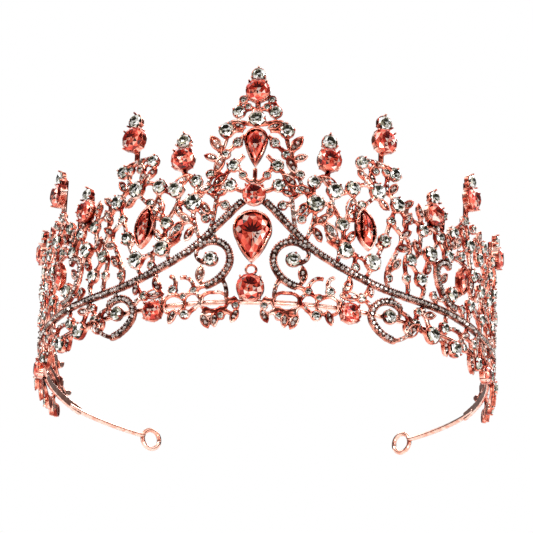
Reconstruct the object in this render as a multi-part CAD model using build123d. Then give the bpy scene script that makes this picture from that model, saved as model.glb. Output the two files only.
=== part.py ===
from build123d import *
import math
import os

# Bridal tiara: open hoop of rose-gold castings set with coral and clear stones.
#
# A place on the tiara is (u, z): u is the distance round the band from the front centre, z is the
# height. "out" is the distance outward from the band's middle surface, an upright cylinder. Castings
# are flat motifs set tangent to that cylinder; the swoop and the rear strips are rolled onto it. The
# right half (u > 0) is drawn, and the left half is its mirror image.

os.makedirs("parts", exist_ok=True)

# Driving dimensions, mm.
BAND_RADIUS = 73.0  # middle surface of the castings
FRONT_REACH = 4.15  # how far the centre stones stand out from the band
REAR_REACH = 60.2  # from the hoop's axis back to the end of the eye loops
CENTRE_Y = (BAND_RADIUS + FRONT_REACH - REAR_REACH) / 2  # hoop axis, so that y = 0 is mid depth
SHEET_TOP = 95.0
LOWEST = 0.834  # drawn height of the lowest leaf tips, which the tiara stands on at z = 0

PLATE = 1.2  # thickness of the castings' openwork
STEM = 1.3  # width of a cast stem
CUP_BACK = -0.8
CUP_FLOOR = 0.35
CUP_WALL = 0.38
SEAT_GAP = 0.04  # between a stone's girdle and its cup
PAVILION = 0.6  # depth of a stone below its girdle, as a share of its radius
CROWN = 0.34  # height above the girdle, as a share of its radius
TABLE = 0.58  # width of the flat top, as a share of the stone's width
PRONG_TIP = 1.25  # a claw's ball tip, as a share of the claw's radius
PRONG_STAND = 0.4  # how far a claw stands off its cup, as a share of its radius
PRONG = 0.3

PAVE_PITCH = 1.5
PAVE_STONE = 0.62
PAVE_WIDTH = 2.2
LARGE_FROM = 2.05  # radius from which a clear stone counts as large
LEAF_STONE = 0.55
STEM_STONE = 0.48
STEM_PITCH = 2.0

RAIL_RADIUS = 0.75
RAIL_OUT = -1.45
RAIL_Z = 9.6
STRIP_START = 114.0
STRIP_END = 147.0
STRIP_HEIGHT = 2.8
STRIP_THICK = 1.0
TAIL_Z = 8.0
STRIP_MIDDLE_Z = 9.1
TAIL_MIDDLE, TAIL_TIP = (163.0, 7.8), (178.7, 7.4)  # u, z
POST_RADIUS = 0.85

LOOP_U = 182.0
LOOP_Z = 6.6
LOOP_RADIUS = 3.3
LOOP_WIRE = 0.75
LOOP_LAND = 1.0  # length of the flat inner land that a ribbon or pin bears on
LOOP_BORE = 4.9

# Single settings of the centre line and of the right half.
PEAR_Z, PEAR_WIDTH, PEAR_HEIGHT = 29.4, 10.6, 15.2
UPPER_PEAR_Z, UPPER_PEAR_WIDTH, UPPER_PEAR_HEIGHT = 58.5, 6.2, 11.2
PEAR_BACK, PEAR_FLOOR, PEAR_DEPTH, PEAR_CROWN, PEAR_FACETS = 0.0, 0.5, 1.2, 1.7, 16
PEAR_WALL, PEAR_RISE = 0.6, 2.6  # the pear collets: wall and height
PEAR_FLANK_BOW = 0.06  # bow of a pear's straight flank, as a share of its width
PEAR_CORNER_BOW = 0.02  # the same for the corner halfway down a pear stone's flank
NAVETTE_BACK, NAVETTE_DEPTH, NAVETTE_CROWN, NAVETTE_FACETS = -0.4, 0.9, 1.2, 6
NAVETTE_EXTRA_WIDTH, NAVETTE_EXTRA_HEIGHT, NAVETTE_RISE = 1.1, 1.8, 2.2  # its collet, over the stone
APEX_Z, APEX_RADIUS = 43.5, 3.2
LINK_Z, LINK_RADIUS, LINK_WIRE = 19.1, 1.55, 0.42
DROP_Z, DROP_RADIUS, DROP_BACK = 13.2, 3.8, -0.2
NAVETTE = (34.4, 35.6, 5.6, 12.0, 12.0)  # u, z, width, height, turn
SIDE_NAVETTE = (74.4, 29.6, 4.2, 8.6, -8.0)
LOWER_ROUND = (30.2, 8.0, 2.9)  # u, z, radius
SIDE_ROUND = (93.4, 5.0, 2.6)
CREST_TOP = (0.0, 68.5, 2.3)

# Finials: (u, coral height, crystal height, foot height, coral radius, crystal radius).
FINIAL_BACK = 0.0
FINIALS = [(22.2, 55.9, 61.9, 50.0, 3.4, 2.1), (39.8, 65.5, 71.7, 57.4, 3.6, 2.2)]
FINIALS += [(59.4, 46.6, 52.2, 40.6, 3.2, 2.0), (78.6, 58.4, 64.4, 50.6, 3.4, 2.1)]
FINIALS += [(107.4, 49.4, 55.2, 42.4, 3.3, 2.0)]
CENTRE_FINIAL = (0.0, 77.4, 83.0, 69.6, 3.4, 1.9)

# Clear stones: (u, z, radius).
CREST_STONES = [(5.6, 70.9, 1.75), (9.2, 64.8, 2.1), (5.6, 60.6, 1.3), (6.6, 53.0, 1.75)]
CREST_STONES += [(7.2, 46.6, 1.75), (13.6, 50.6, 1.2), (4.4, 75.0, 1.0), (9.2, 56.9, 1.2)]
CREST_STONES += [(13.6, 45.6, 1.3), (8.6, 40.2, 1.2), (3.6, 49.9, 1.0), (2.9, 72.6, 0.9)]
FRONT_STONES = [(18.6, 41.6, 2.5), (18.0, 48.6, 1.8), (24.4, 46.6, 2.3), (27.2, 36.0, 1.9)]
FRONT_STONES += [(28.4, 27.9, 2.3), (37.0, 25.4, 2.4), (41.2, 33.4, 1.9), (30.2, 48.4, 2.1)]
FRONT_STONES += [(33.0, 57.4, 1.8), (44.4, 56.0, 1.9), (38.3, 48.8, 2.4), (45.8, 46.2, 2.2)]
FRONT_STONES += [(33.2, 43.4, 1.2), (37.6, 55.4, 1.0), (41.4, 56.2, 1.0), (23.0, 34.0, 1.1)]
FRONT_STONES += [(43.6, 40.4, 1.2), (14.6, 36.2, 1.1), (31.8, 23.0, 1.1), (43.0, 21.8, 1.1)]
SIDE_STONES = [(55.8, 40.6, 1.8), (62.8, 40.2, 1.8), (58.8, 33.6, 2.3), (50.9, 29.6, 1.9)]
SIDE_STONES += [(55.2, 24.2, 2.0), (67.4, 35.6, 1.9), (69.2, 23.4, 2.2), (69.8, 44.2, 1.9)]
SIDE_STONES += [(76.6, 50.4, 1.6), (79.0, 43.0, 2.3), (86.2, 41.0, 2.1), (90.4, 46.6, 1.9)]
SIDE_STONES += [(82.2, 34.0, 1.9), (80.4, 23.4, 1.9), (88.6, 21.6, 2.0), (50.2, 42.6, 1.3)]
SIDE_STONES += [(65.0, 48.4, 1.3), (74.2, 37.8, 1.6), (49.6, 23.2, 1.2), (87.8, 30.6, 2.1)]
SIDE_STONES += [(82.4, 49.8, 1.3), (60.6, 20.4, 1.2), (75.4, 20.6, 1.2), (92.6, 40.6, 1.3)]
SIDE_HEM_STONES = [(53.4, 9.2, 1.6), (60.0, 7.4, 2.4), (65.6, 11.4, 1.8), (71.0, 6.2, 2.4)]
SIDE_HEM_STONES += [(86.0, 6.2, 2.0), (54.4, 13.6, 1.1), (76.6, 8.4, 1.2), (82.6, 11.4, 1.5)]
REAR_STONES = [(98.0, 40.4, 1.9), (102.4, 46.4, 1.7), (95.6, 30.6, 2.2), (102.4, 34.6, 2.1)]
REAR_STONES += [(112.8, 39.4, 1.9), (111.4, 30.0, 2.0), (118.6, 32.4, 1.9), (101.4, 24.0, 1.8)]
REAR_STONES += [(122.6, 24.4, 2.1), (129.0, 20.6, 1.8), (134.6, 14.6, 1.6), (113.0, 46.2, 1.3)]
REAR_STONES += [(95.4, 46.2, 1.3), (96.2, 20.6, 1.3), (125.6, 30.6, 1.3)]
REAR_HEM_STONES = [(98.8, 6.4, 2.1), (105.2, 11.2, 1.6), (112.0, 7.0, 2.2), (126.0, 4.6, 1.9)]
REAR_HEM_STONES += [(134.0, 4.4, 1.9), (121.6, 12.0, 1.3), (98.4, 11.6, 1.2)]
HEM_STONES = [(19.8, 5.9, 1.3), (33.8, 13.4, 1.25), (8.7, 4.9, 1.0), (24.0, 14.0, 1.2)]
HEM_STONES += [(17.2, 13.2, 1.0), (4.2, 8.0, 0.9), (20.6, 11.6, 0.9)]
INNER_SCROLL_STONES = [(12.4, 23.0, 2.0)]
OUTER_SCROLL_STONES = [(43.6, 9.4, 2.0)]

# Leaves: (u, z, length, width, turn); turn is degrees from +u towards +z.
CREST_LEAVES = [(12.2, 60.4, 6.4, 2.6, 55), (10.9, 53.6, 6.0, 2.6, 115), (10.4, 48.4, 5.6, 2.5, 140)]
CREST_LEAVES += [(13.6, 56.0, 4.6, 2.2, 20), (5.4, 66.0, 4.2, 2.0, 20), (14.6, 39.4, 4.6, 2.2, 60)]
CREST_LEAVES += [(10.0, 44.2, 3.8, 1.9, 160)]
FRONT_LEAVES = [(15.0, 45.8, 5.0, 2.3, 160), (24.4, 30.6, 6.0, 2.6, 150), (43.8, 50.9, 5.0, 2.2, 50)]
FRONT_LEAVES += [(49.2, 42.2, 5.4, 2.4, 60), (48.6, 37.2, 4.8, 2.3, 35), (47.8, 32.4, 5.2, 2.4, 10)]
FRONT_LEAVES += [(23.2, 39.6, 5.0, 2.2, 75), (31.6, 39.6, 4.6, 2.2, 100), (36.0, 52.6, 4.0, 2.0, 105)]
FRONT_LEAVES += [(21.0, 36.6, 4.8, 2.2, 40), (33.2, 53.2, 4.8, 2.2, 135), (45.4, 26.6, 4.8, 2.2, 55)]
FRONT_LEAVES += [(40.6, 45.0, 4.4, 2.1, -40), (29.8, 32.2, 4.8, 2.2, 60), (49.4, 47.2, 4.6, 2.2, 40)]
FRONT_LEAVES += [(19.6, 31.4, 4.8, 2.2, 115)]
SIDE_LEAVES = [(53.4, 34.2, 5.0, 2.4, 125), (64.8, 27.4, 5.0, 2.4, 50), (72.2, 41.4, 5.0, 2.4, 60)]
SIDE_LEAVES += [(86.4, 48.6, 5.2, 2.4, 70), (92.4, 35.4, 5.0, 2.4, 70), (62.4, 45.2, 4.8, 2.3, 60)]
SIDE_LEAVES += [(54.2, 46.2, 5.0, 2.3, 110), (75.0, 45.8, 4.8, 2.3, 110), (84.6, 27.8, 5.2, 2.4, 60)]
SIDE_LEAVES += [(66.6, 40.0, 4.4, 2.2, 100), (79.8, 30.0, 4.8, 2.3, 80), (57.8, 28.6, 4.6, 2.2, 75)]
SIDE_LEAVES += [(83.4, 44.8, 4.4, 2.2, 120), (91.4, 26.6, 5.0, 2.3, 100)]
SIDE_HEM_LEAVES = [(80.8, 4.6, 6.8, 2.9, -70), (58.6, 13.4, 5.0, 2.4, 15), (76.4, 12.2, 5.0, 2.4, 200)]
SIDE_HEM_LEAVES += [(66.0, 5.0, 5.0, 2.4, -80), (89.4, 11.6, 5.4, 2.5, 120), (50.0, 6.4, 4.8, 2.3, -50)]
REAR_LEAVES = [(108.4, 41.2, 5.0, 2.4, 110), (119.0, 38.4, 5.6, 2.5, 75), (128.6, 27.4, 5.6, 2.5, 50)]
REAR_LEAVES += [(97.4, 25.6, 5.0, 2.4, 80), (140.6, 12.6, 5.2, 2.4, 20), (98.6, 35.8, 4.8, 2.3, 60)]
REAR_LEAVES += [(134.6, 20.6, 5.0, 2.4, 35), (116.4, 44.0, 5.0, 2.3, 60), (107.4, 36.4, 4.8, 2.3, 90)]
REAR_HEM_LEAVES = [(119.0, 6.4, 6.4, 2.9, -75), (92.6, 11.0, 5.6, 2.5, 110), (105.4, 5.0, 5.8, 2.6, -80)]
REAR_HEM_LEAVES += [(130.2, 4.4, 5.2, 2.4, -85), (113.0, 13.0, 5.0, 2.4, 160)]
HEM_LEAVES = [(29.2, 16.2, 5.6, 2.6, 70), (13.2, 3.1, 5.0, 2.3, -115), (4.4, 4.6, 4.6, 2.2, -65)]
HEM_LEAVES += [(10.4, 3.4, 4.4, 2.0, -90), (23.8, 5.4, 4.6, 2.2, -70), (36.6, 16.2, 4.2, 2.0, 100)]
INNER_SCROLL_LEAVES = [(15.4, 18.2, 5.6, 2.4, 95)]

# Bands of pave stones, as centre lines.
SWOOP = [(3.1, 41.5), (9.5, 35.0), (18.5, 26.6), (28.0, 21.8), (39.0, 18.2), (52.0, 16.9)]
SWOOP += [(75.0, 16.6), (98.0, 15.8), (120.0, 16.6), (138.0, 11.0)]
SWOOP_SPANS = 5
SWOOP_LAP = 0.004  # share of its length by which one span laps the next
VIEW_REACH = 60.0  # a casting's flat view is used no further than this from its middle
INNER_SCROLL = [(16.2, 26.8), (12.8, 28.6), (8.4, 27.2), (6.4, 22.6), (8.2, 18.0), (13.8, 14.4)]
OUTER_SCROLL = [(47.6, 12.4), (43.4, 14.0), (38.8, 12.2), (37.0, 8.0), (39.6, 4.2), (45.4, 2.2)]
SIDE_SCROLL = [(68.6, 31.4), (64.8, 32.6), (61.8, 29.8), (62.4, 26.0), (66.0, 21.0), (72.0, 19.6)]
REAR_SCROLL = [(112.6, 35.4), (107.6, 33.6), (106.0, 28.8), (108.6, 24.0), (114.4, 22.4), (117.0, 26.8)]

# Stems, each a few points.
CREST_STEMS = [
    [(13.6, 30.6), (12.2, 36.0), (11.4, 42.6), (9.4, 49.4), (6.6, 53.0), (3.4, 56.2)],
    [(11.8, 40.4), (9.4, 40.8), (7.4, 39.6)],
    [(11.6, 38.4), (13.4, 38.2), (14.8, 39.6)],
    [(8.8, 63.6), (6.2, 64.6), (4.0, 64.4)],
    [(11.4, 43.0), (13.4, 44.6), (13.4, 46.6)],
    [(9.4, 49.4), (11.6, 54.0), (10.2, 59.0), (9.2, 64.8)],
    [(9.2, 64.8), (7.0, 67.6), (4.0, 67.2), (0.0, 67.2)],
    [(10.2, 57.6), (7.6, 58.6), (5.6, 60.6), (3.4, 62.6)],
    [(0.0, 70.2), (3.2, 71.8), (5.6, 70.9), (4.4, 75.0), (1.0, 76.0)],
    [(3.0, 44.4), (5.2, 45.2), (7.2, 46.6), (9.8, 48.2)],
    [(9.8, 48.0), (11.8, 50.0), (13.6, 50.6)],
    [(10.2, 57.0), (11.8, 59.0), (13.0, 61.6)],
    [(0.0, 47.4), (2.4, 48.4), (4.6, 51.6), (6.6, 53.0)],
    [(11.2, 55.0), (12.6, 55.2), (14.0, 56.2)],
]
CREST_SPINE = [[(0.0, 46.4), (0.0, 49.4), (0.0, 52.2)], [(0.0, 64.0), (0.0, 67.0), (0.0, 71.0)]]
FRONT_STEMS = [
    [(15.6, 28.8), (18.0, 35.6), (18.6, 41.6), (18.0, 48.6), (22.2, 51.0)],
    [(18.0, 48.6), (21.2, 49.6), (24.4, 46.6)],
    [(13.2, 50.2), (15.0, 46.0), (18.6, 41.6)],
    [(18.6, 41.6), (21.0, 42.2), (23.6, 41.0)],
    [(24.4, 46.6), (27.4, 46.4), (30.2, 48.4), (29.6, 42.0), (27.2, 36.0)],
    [(25.6, 22.6), (27.2, 30.0), (27.2, 36.0), (24.2, 41.2), (24.4, 46.6)],
    [(22.6, 30.4), (24.8, 29.0), (28.4, 27.9), (32.4, 26.6), (37.0, 25.4)],
    [(37.0, 25.4), (36.0, 22.0), (34.4, 19.6)],
    [(37.0, 25.4), (41.2, 33.4), (43.2, 40.0), (45.8, 46.2)],
    [(33.4, 42.6), (36.2, 45.6), (38.3, 48.8), (36.4, 53.0), (39.8, 58.4)],
    [(38.3, 48.8), (41.8, 53.0), (39.8, 58.4)],
    [(38.3, 48.8), (34.4, 50.2), (30.2, 48.4)],
    [(38.3, 48.8), (42.2, 49.2), (45.8, 46.2), (49.0, 41.6), (47.6, 36.6)],
    [(33.0, 57.4), (36.4, 58.4), (39.8, 58.0), (42.0, 57.8), (44.4, 56.0)],
    [(43.4, 17.6), (42.6, 24.6), (45.6, 30.6), (47.6, 36.6)],
    [(43.2, 40.0), (45.4, 38.4), (47.6, 36.6)],
    [(41.2, 33.4), (39.4, 31.8), (38.2, 31.4)],
    [(14.6, 36.2), (16.4, 38.6), (18.6, 41.6)],
    [(17.6, 34.0), (20.4, 35.6), (23.0, 34.0), (24.6, 30.4)],
    [(31.6, 22.0), (31.4, 24.6), (32.0, 27.0)],
    [(33.2, 52.8), (35.0, 51.4), (36.6, 50.6)],
    [(48.8, 43.6), (49.0, 45.4), (50.0, 47.8)],
    [(27.0, 31.0), (29.2, 31.4), (31.2, 33.6)],
    [(30.0, 44.0), (31.6, 43.6), (33.2, 43.4)],
    [(20.0, 36.8), (22.0, 38.4), (24.4, 41.0)],
    [(42.6, 24.0), (43.6, 24.4), (44.8, 25.8)],
    [(17.4, 33.8), (18.6, 32.6), (19.8, 31.0)],
    [(28.4, 38.8), (30.0, 38.0), (31.8, 38.6)],
]
SIDE_STEMS = [
    [(50.9, 29.6), (54.4, 33.8), (55.8, 40.6), (59.4, 42.4)],
    [(59.4, 41.8), (62.8, 40.2), (60.8, 36.6), (58.8, 33.6)],
    [(47.4, 36.8), (50.6, 34.0), (50.9, 29.6), (53.2, 26.4), (55.2, 24.2), (54.6, 17.0)],
    [(58.8, 33.6), (57.2, 28.4), (55.2, 24.2)],
    [(62.8, 40.2), (66.2, 42.2), (69.8, 44.2), (73.0, 47.4), (78.0, 51.6)],
    [(62.8, 40.2), (64.8, 37.6), (67.4, 35.6), (68.8, 39.8), (69.8, 44.2)],
    [(77.0, 51.2), (78.4, 47.0), (79.0, 43.0), (79.8, 38.4), (82.2, 34.0)],
    [(79.0, 43.0), (82.6, 43.2), (86.2, 41.0), (89.0, 43.6), (90.4, 46.6)],
    [(82.2, 34.0), (81.6, 28.8), (80.4, 23.4), (79.6, 17.0)],
    [(67.4, 35.6), (71.0, 36.4), (75.6, 39.8), (79.0, 43.0)],
    [(69.2, 23.4), (68.8, 20.4), (68.0, 17.0)],
    [(67.6, 35.0), (74.0, 36.0), (82.2, 34.0)],
    [(82.2, 34.0), (87.6, 35.0), (92.6, 36.0)],
    [(92.6, 36.0), (90.0, 28.6), (88.6, 21.6), (89.0, 16.6)],
    [(80.4, 23.4), (84.4, 21.4), (88.6, 21.6)],
    [(86.2, 41.0), (85.6, 45.6), (86.4, 48.6)],
    [(55.8, 40.6), (52.6, 42.6), (50.2, 42.6), (48.4, 43.0)],
    [(55.4, 41.6), (54.8, 43.8), (54.2, 46.2)],
    [(64.0, 41.6), (64.6, 45.0), (65.0, 48.4)],
    [(49.8, 31.0), (48.8, 27.0), (49.6, 23.2), (49.8, 17.6)],
    [(60.6, 20.4), (61.6, 18.6), (61.4, 17.0)],
    [(75.4, 20.6), (76.0, 18.6), (75.8, 17.0)],
    [(81.4, 27.0), (84.4, 27.4), (86.2, 29.2), (87.8, 30.6), (90.6, 31.2)],
    [(90.4, 46.6), (92.0, 43.4), (92.6, 40.6), (92.6, 36.0)],
    [(78.2, 46.6), (80.4, 48.4), (82.4, 49.8)],
    [(71.0, 23.6), (73.0, 24.4), (74.2, 25.4)],
    [(71.4, 20.0), (73.4, 20.6), (75.4, 20.6)],
    [(60.6, 20.4), (63.4, 20.0), (66.0, 21.0)],
    [(68.8, 39.8), (70.2, 39.4), (71.8, 40.6)],
    [(81.6, 28.2), (80.6, 27.6), (79.6, 28.8)],
    [(61.0, 41.2), (61.2, 42.8), (62.2, 44.6)],
    [(62.0, 30.6), (60.0, 31.6), (58.8, 33.6)],
]
SIDE_HEM_STEMS = [
    [(47.4, 11.8), (50.2, 11.0), (53.4, 9.2), (56.6, 7.6), (60.0, 7.4), (63.4, 7.1)],
    [(61.4, 7.3), (65.4, 6.8), (71.0, 6.2)],
    [(71.0, 6.2), (74.6, 7.2), (79.0, 7.6)],
    [(77.0, 7.5), (82.0, 7.4), (86.0, 6.2)],
    [(60.0, 7.4), (62.8, 9.6), (65.6, 11.4), (70.6, 12.6), (76.4, 12.0), (82.6, 11.4)],
    [(55.4, 16.8), (57.2, 13.0), (60.0, 7.4)],
    [(65.6, 11.4), (66.4, 14.0), (66.8, 17.0)],
    [(71.0, 6.2), (73.4, 9.0), (76.4, 12.0), (78.2, 16.6)],
    [(86.0, 6.2), (85.0, 11.0), (86.6, 16.6)],
    [(54.4, 13.6), (53.6, 11.6), (53.4, 9.2)],
    [(86.0, 6.2), (88.6, 9.4), (89.2, 12.4), (89.2, 16.4)],
    [(50.2, 11.0), (50.2, 8.8), (50.2, 6.6)],
]
REAR_STEMS = [
    [(92.6, 36.0), (96.0, 38.6), (98.0, 40.4), (102.4, 46.4), (107.4, 43.4)],
    [(90.8, 25.4), (95.6, 30.6), (98.0, 40.4)],
    [(95.6, 30.6), (99.4, 33.8), (102.4, 34.6), (106.2, 39.0), (107.4, 43.4)],
    [(107.4, 43.4), (110.4, 42.0), (112.8, 39.4), (113.0, 35.0)],
    [(112.8, 39.4), (116.4, 37.0), (118.6, 32.4), (120.0, 28.0), (122.6, 24.4), (122.0, 16.8)],
    [(118.6, 32.4), (124.4, 28.6), (129.0, 20.6), (128.6, 14.6)],
    [(95.6, 30.6), (98.4, 26.6), (101.4, 24.0), (107.8, 25.2)],
    [(101.4, 24.0), (101.4, 20.0), (101.2, 16.2)],
    [(122.6, 24.4), (125.4, 22.6), (129.0, 20.6)],
    [(128.6, 21.0), (131.6, 18.0), (134.6, 14.6), (141.0, 12.4)],
    [(90.8, 25.4), (94.0, 22.4), (96.2, 20.6), (96.0, 16.4)],
    [(118.0, 34.0), (118.4, 36.4), (118.8, 38.8)],
    [(102.4, 34.6), (99.8, 37.6), (98.0, 40.4)],
    [(98.0, 40.4), (96.2, 43.4), (95.4, 46.2)],
    [(112.8, 39.4), (113.8, 43.0), (113.0, 46.2)],
    [(113.6, 42.4), (115.2, 42.4), (116.4, 44.0)],
    [(124.4, 28.0), (125.4, 29.4), (125.6, 30.6)],
    [(129.0, 20.6), (131.6, 21.0), (134.2, 20.4)],
    [(126.6, 25.8), (128.0, 26.2), (129.0, 27.8)],
    [(108.8, 24.4), (111.2, 27.4), (111.4, 30.0)],
    [(138.0, 11.0), (140.6, 12.6), (143.0, 13.4)],
    [(134.6, 14.6), (134.8, 13.2), (135.0, 12.0)],
]
REAR_HEM_STEMS = [
    [(91.6, 9.2), (93.4, 7.6), (95.6, 8.0), (98.8, 6.4), (103.0, 7.2)],
    [(101.6, 7.0), (105.2, 7.4), (112.0, 7.0), (118.0, 9.2)],
    [(116.0, 8.2), (118.6, 9.4), (122.6, 7.6), (126.0, 4.6)],
    [(98.8, 6.4), (101.6, 9.2), (105.2, 11.2), (106.6, 16.0)],
    [(93.6, 8.0), (93.0, 11.0), (92.6, 16.2)],
    [(118.6, 9.4), (121.6, 12.0), (121.8, 16.4)],
    [(126.0, 4.6), (129.8, 6.4), (134.0, 4.4)],
    [(129.8, 6.0), (131.4, 9.4), (133.0, 13.0)],
    [(98.8, 6.4), (98.2, 9.4), (98.4, 11.6), (98.6, 16.0)],
    [(105.2, 11.2), (110.0, 13.2), (114.6, 12.6), (118.6, 9.4)],
]
HEM_STEMS = [
    [(4.2, 10.6), (5.4, 9.8), (7.2, 9.4)],
    [(13.4, 14.2), (17.2, 13.2), (20.6, 11.6), (24.0, 14.0)],
    [(17.2, 13.2), (19.0, 17.2), (21.8, 17.6)],
    [(24.0, 14.0), (23.2, 17.0), (25.2, 18.4)],
    [(14.4, 9.4), (15.6, 11.4), (17.2, 13.2)],
    [(14.4, 9.4), (17.2, 7.2), (19.8, 5.9), (21.0, 8.0)],
    [(9.2, 7.6), (8.7, 4.9), (10.4, 4.8), (13.0, 4.6), (12.6, 7.6)],
    [(9.2, 7.4), (6.6, 6.0), (4.3, 5.4), (4.2, 8.0), (4.2, 10.6)],
    [(26.9, 13.5), (29.8, 13.2), (33.8, 13.4), (37.2, 10.4)],
    [(27.8, 13.2), (29.0, 16.0), (30.2, 20.8)],
    [(33.8, 13.4), (35.6, 15.6), (36.6, 18.6)],
    [(26.4, 9.4), (28.0, 12.2), (28.8, 13.2)],
    [(22.6, 7.4), (23.2, 6.2), (23.6, 5.4)],
]
INNER_SCROLL_STEMS = [
    [(12.4, 23.0), (15.4, 22.4), (17.0, 24.8), (15.4, 27.2)],
    [(14.0, 14.4), (15.2, 16.0), (15.4, 18.0)],
    [(8.6, 16.6), (7.4, 13.8), (7.2, 9.8)],
    [(10.6, 28.4), (11.6, 30.8), (12.6, 32.8)],
]
OUTER_SCROLL_STEMS = [
    [(43.6, 9.4), (46.4, 9.6), (47.6, 12.4)],
    [(43.0, 14.0), (44.6, 15.8), (45.4, 17.4)],
    [(45.2, 2.2), (49.6, 4.4), (53.4, 9.2)],
]
OVALS = [(10.8, 9.4, 7.2, 4.6), (23.4, 9.4, 6.0, 4.6)]  # u, z, width, height of the opening

# What each casting is made of: stems, round stones, leaves, pave bands, oval rings.
CREST = (CREST_STEMS, CREST_STONES, CREST_LEAVES, [], [])
FRONT = (FRONT_STEMS, FRONT_STONES, FRONT_LEAVES, [], [])
SIDE = (SIDE_STEMS, SIDE_STONES, SIDE_LEAVES, [SIDE_SCROLL], [])
REAR = (REAR_STEMS, REAR_STONES, REAR_LEAVES, [REAR_SCROLL], [])
FRONT_HEM = (HEM_STEMS, HEM_STONES, HEM_LEAVES, [], OVALS)
SIDE_HEM = (SIDE_HEM_STEMS, SIDE_HEM_STONES, SIDE_HEM_LEAVES, [], [])
REAR_HEM = (REAR_HEM_STEMS, REAR_HEM_STONES, REAR_HEM_LEAVES, [], [])
INNER = (INNER_SCROLL_STEMS, INNER_SCROLL_STONES, INNER_SCROLL_LEAVES, [INNER_SCROLL], [])
OUTER = (OUTER_SCROLL_STEMS, OUTER_SCROLL_STONES, [], [OUTER_SCROLL], [])


def at(u, z, out=0.0):
    """Point of the band."""
    angle = u / BAND_RADIUS
    reach = BAND_RADIUS + out
    return Vector(reach * math.sin(angle), CENTRE_Y - reach * math.cos(angle), z - LOWEST)


def facing(u, z, out=0.0, turn=0.0):
    """Plane tangent to the band, normal outward, its x axis turned from +u towards +z."""
    angle = u / BAND_RADIUS
    sideways = Vector(math.cos(angle), math.sin(angle), 0)
    outward = Vector(math.sin(angle), -math.cos(angle), 0)
    tilt = math.radians(turn)
    x_dir = sideways * math.cos(tilt) + Vector(0, 0, 1) * math.sin(tilt)
    return Plane(origin=at(u, z, out), x_dir=x_dir, z_dir=outward)


def fused(shapes):
    """One shape from overlapping ones."""
    return shapes[0].fuse(*shapes[1:])


class FlatPath:
    """A line drawn on the flat band, walked by length."""

    def __init__(self, points):
        self.line = Spline(*[Vector(u, z, 0) for u, z in points])
        self.length = self.line.length

    def place(self, distance, aside=0.0):
        """(u, z) at a distance along, moved aside to the left of the direction of travel."""
        spot = self.line.position_at(distance, position_mode=PositionMode.LENGTH)
        along = self.line.tangent_at(distance, position_mode=PositionMode.LENGTH)
        return spot.X - along.Y * aside, spot.Y + along.X * aside

    def turn(self, distance):
        along = self.line.tangent_at(distance, position_mode=PositionMode.LENGTH)
        return math.degrees(math.atan2(along.Y, along.X))


def stroke(points, centre_u, width=STEM, start=0.0, end=1.0):
    """Face of even width along part of a line, drawn flat with centre_u at its middle."""
    path = FlatPath(points)
    first = path.length * start
    span = path.length * (end - start)
    steps = max(3, round(span / 2.5))
    sides = []
    for aside in (width / 2, -width / 2):
        places = [path.place(first + span * k / steps, aside) for k in range(steps + 1)]
        sides.append([(u - centre_u, z) for u, z in places])
    left, right = sides
    right.reverse()
    return make_face([Spline(*left), Line(left[-1], right[0]), Spline(*right), Line(right[-1], left[0])])


def leaf_outline(length, width):
    """Pointed oval, its stalk end at -x."""
    half = length / 2
    upper = ThreePointArc((-half, 0), (0, width / 2), (half, 0))
    lower = ThreePointArc((half, 0), (0, -width / 2), (-half, 0))
    return make_face([upper, lower])


def leaf_face(place, centre_u):
    u, z, length, width, turn = place
    return Pos(u - centre_u, z) * Rot(0, 0, turn) * leaf_outline(length, width)


def disc(place, centre_u):
    u, z, radius = place
    return Pos(u - centre_u, z) * Circle(radius + CUP_WALL)


def ring(place, centre_u):
    u, z, width, height = place
    outer = SlotOverall(width + STEM * 1.6, height + STEM * 1.6)
    return Pos(u - centre_u, z) * (outer - SlotOverall(width, height))


def rolled(face, centre_u, thick=PLATE, out=0.0):
    """Flat drawing pressed onto the band: a curved plate of even thickness."""
    depth = BAND_RADIUS * 0.2
    block = facing(centre_u, 0.0, 2.0) * extrude(face, -depth)
    outer = Cylinder(BAND_RADIUS + out + thick / 2, SHEET_TOP, align=(Align.CENTER, Align.CENTER, Align.MIN))
    inner = Cylinder(BAND_RADIUS + out - thick / 2, SHEET_TOP, align=(Align.CENTER, Align.CENTER, Align.MIN))
    return block & (Pos(0, CENTRE_Y, 0) * (outer - inner))


def girdle_out(radius, back=CUP_BACK):
    """How far out the widest part of a round stone sits when its point touches the cup floor."""
    return back + CUP_FLOOR + PAVILION * radius


def collet(place, centre_u):
    """Closed-backed collet of a flat motif, before its seat is bored."""
    u, z, radius = place
    depth = girdle_out(radius) - CUP_BACK
    body = Cylinder(radius + CUP_WALL, depth, align=(Align.CENTER, Align.CENTER, Align.MIN))
    return Pos(u - centre_u, z, CUP_BACK) * body


def collet_bore(place, centre_u):
    """Seat of a flat motif's stone."""
    u, z, radius = place
    bore = Cylinder(radius + SEAT_GAP, radius * 2, align=(Align.CENTER, Align.CENTER, Align.MIN))
    return Pos(u - centre_u, z, CUP_BACK + CUP_FLOOR) * bore


def cup(place, back=CUP_BACK):
    """Closed-backed collet, before its seat is bored."""
    u, z, radius = place
    depth = girdle_out(radius, back) - back
    body = Cylinder(radius + CUP_WALL, depth, align=(Align.CENTER, Align.CENTER, Align.MIN))
    return facing(u, z, back) * body


def seat(place, back=CUP_BACK):
    """Bore that takes the stone."""
    u, z, radius = place
    bore = Cylinder(radius + SEAT_GAP, radius * 2, align=(Align.CENTER, Align.CENTER, Align.MIN))
    return facing(u, z, back + CUP_FLOOR) * bore


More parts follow.
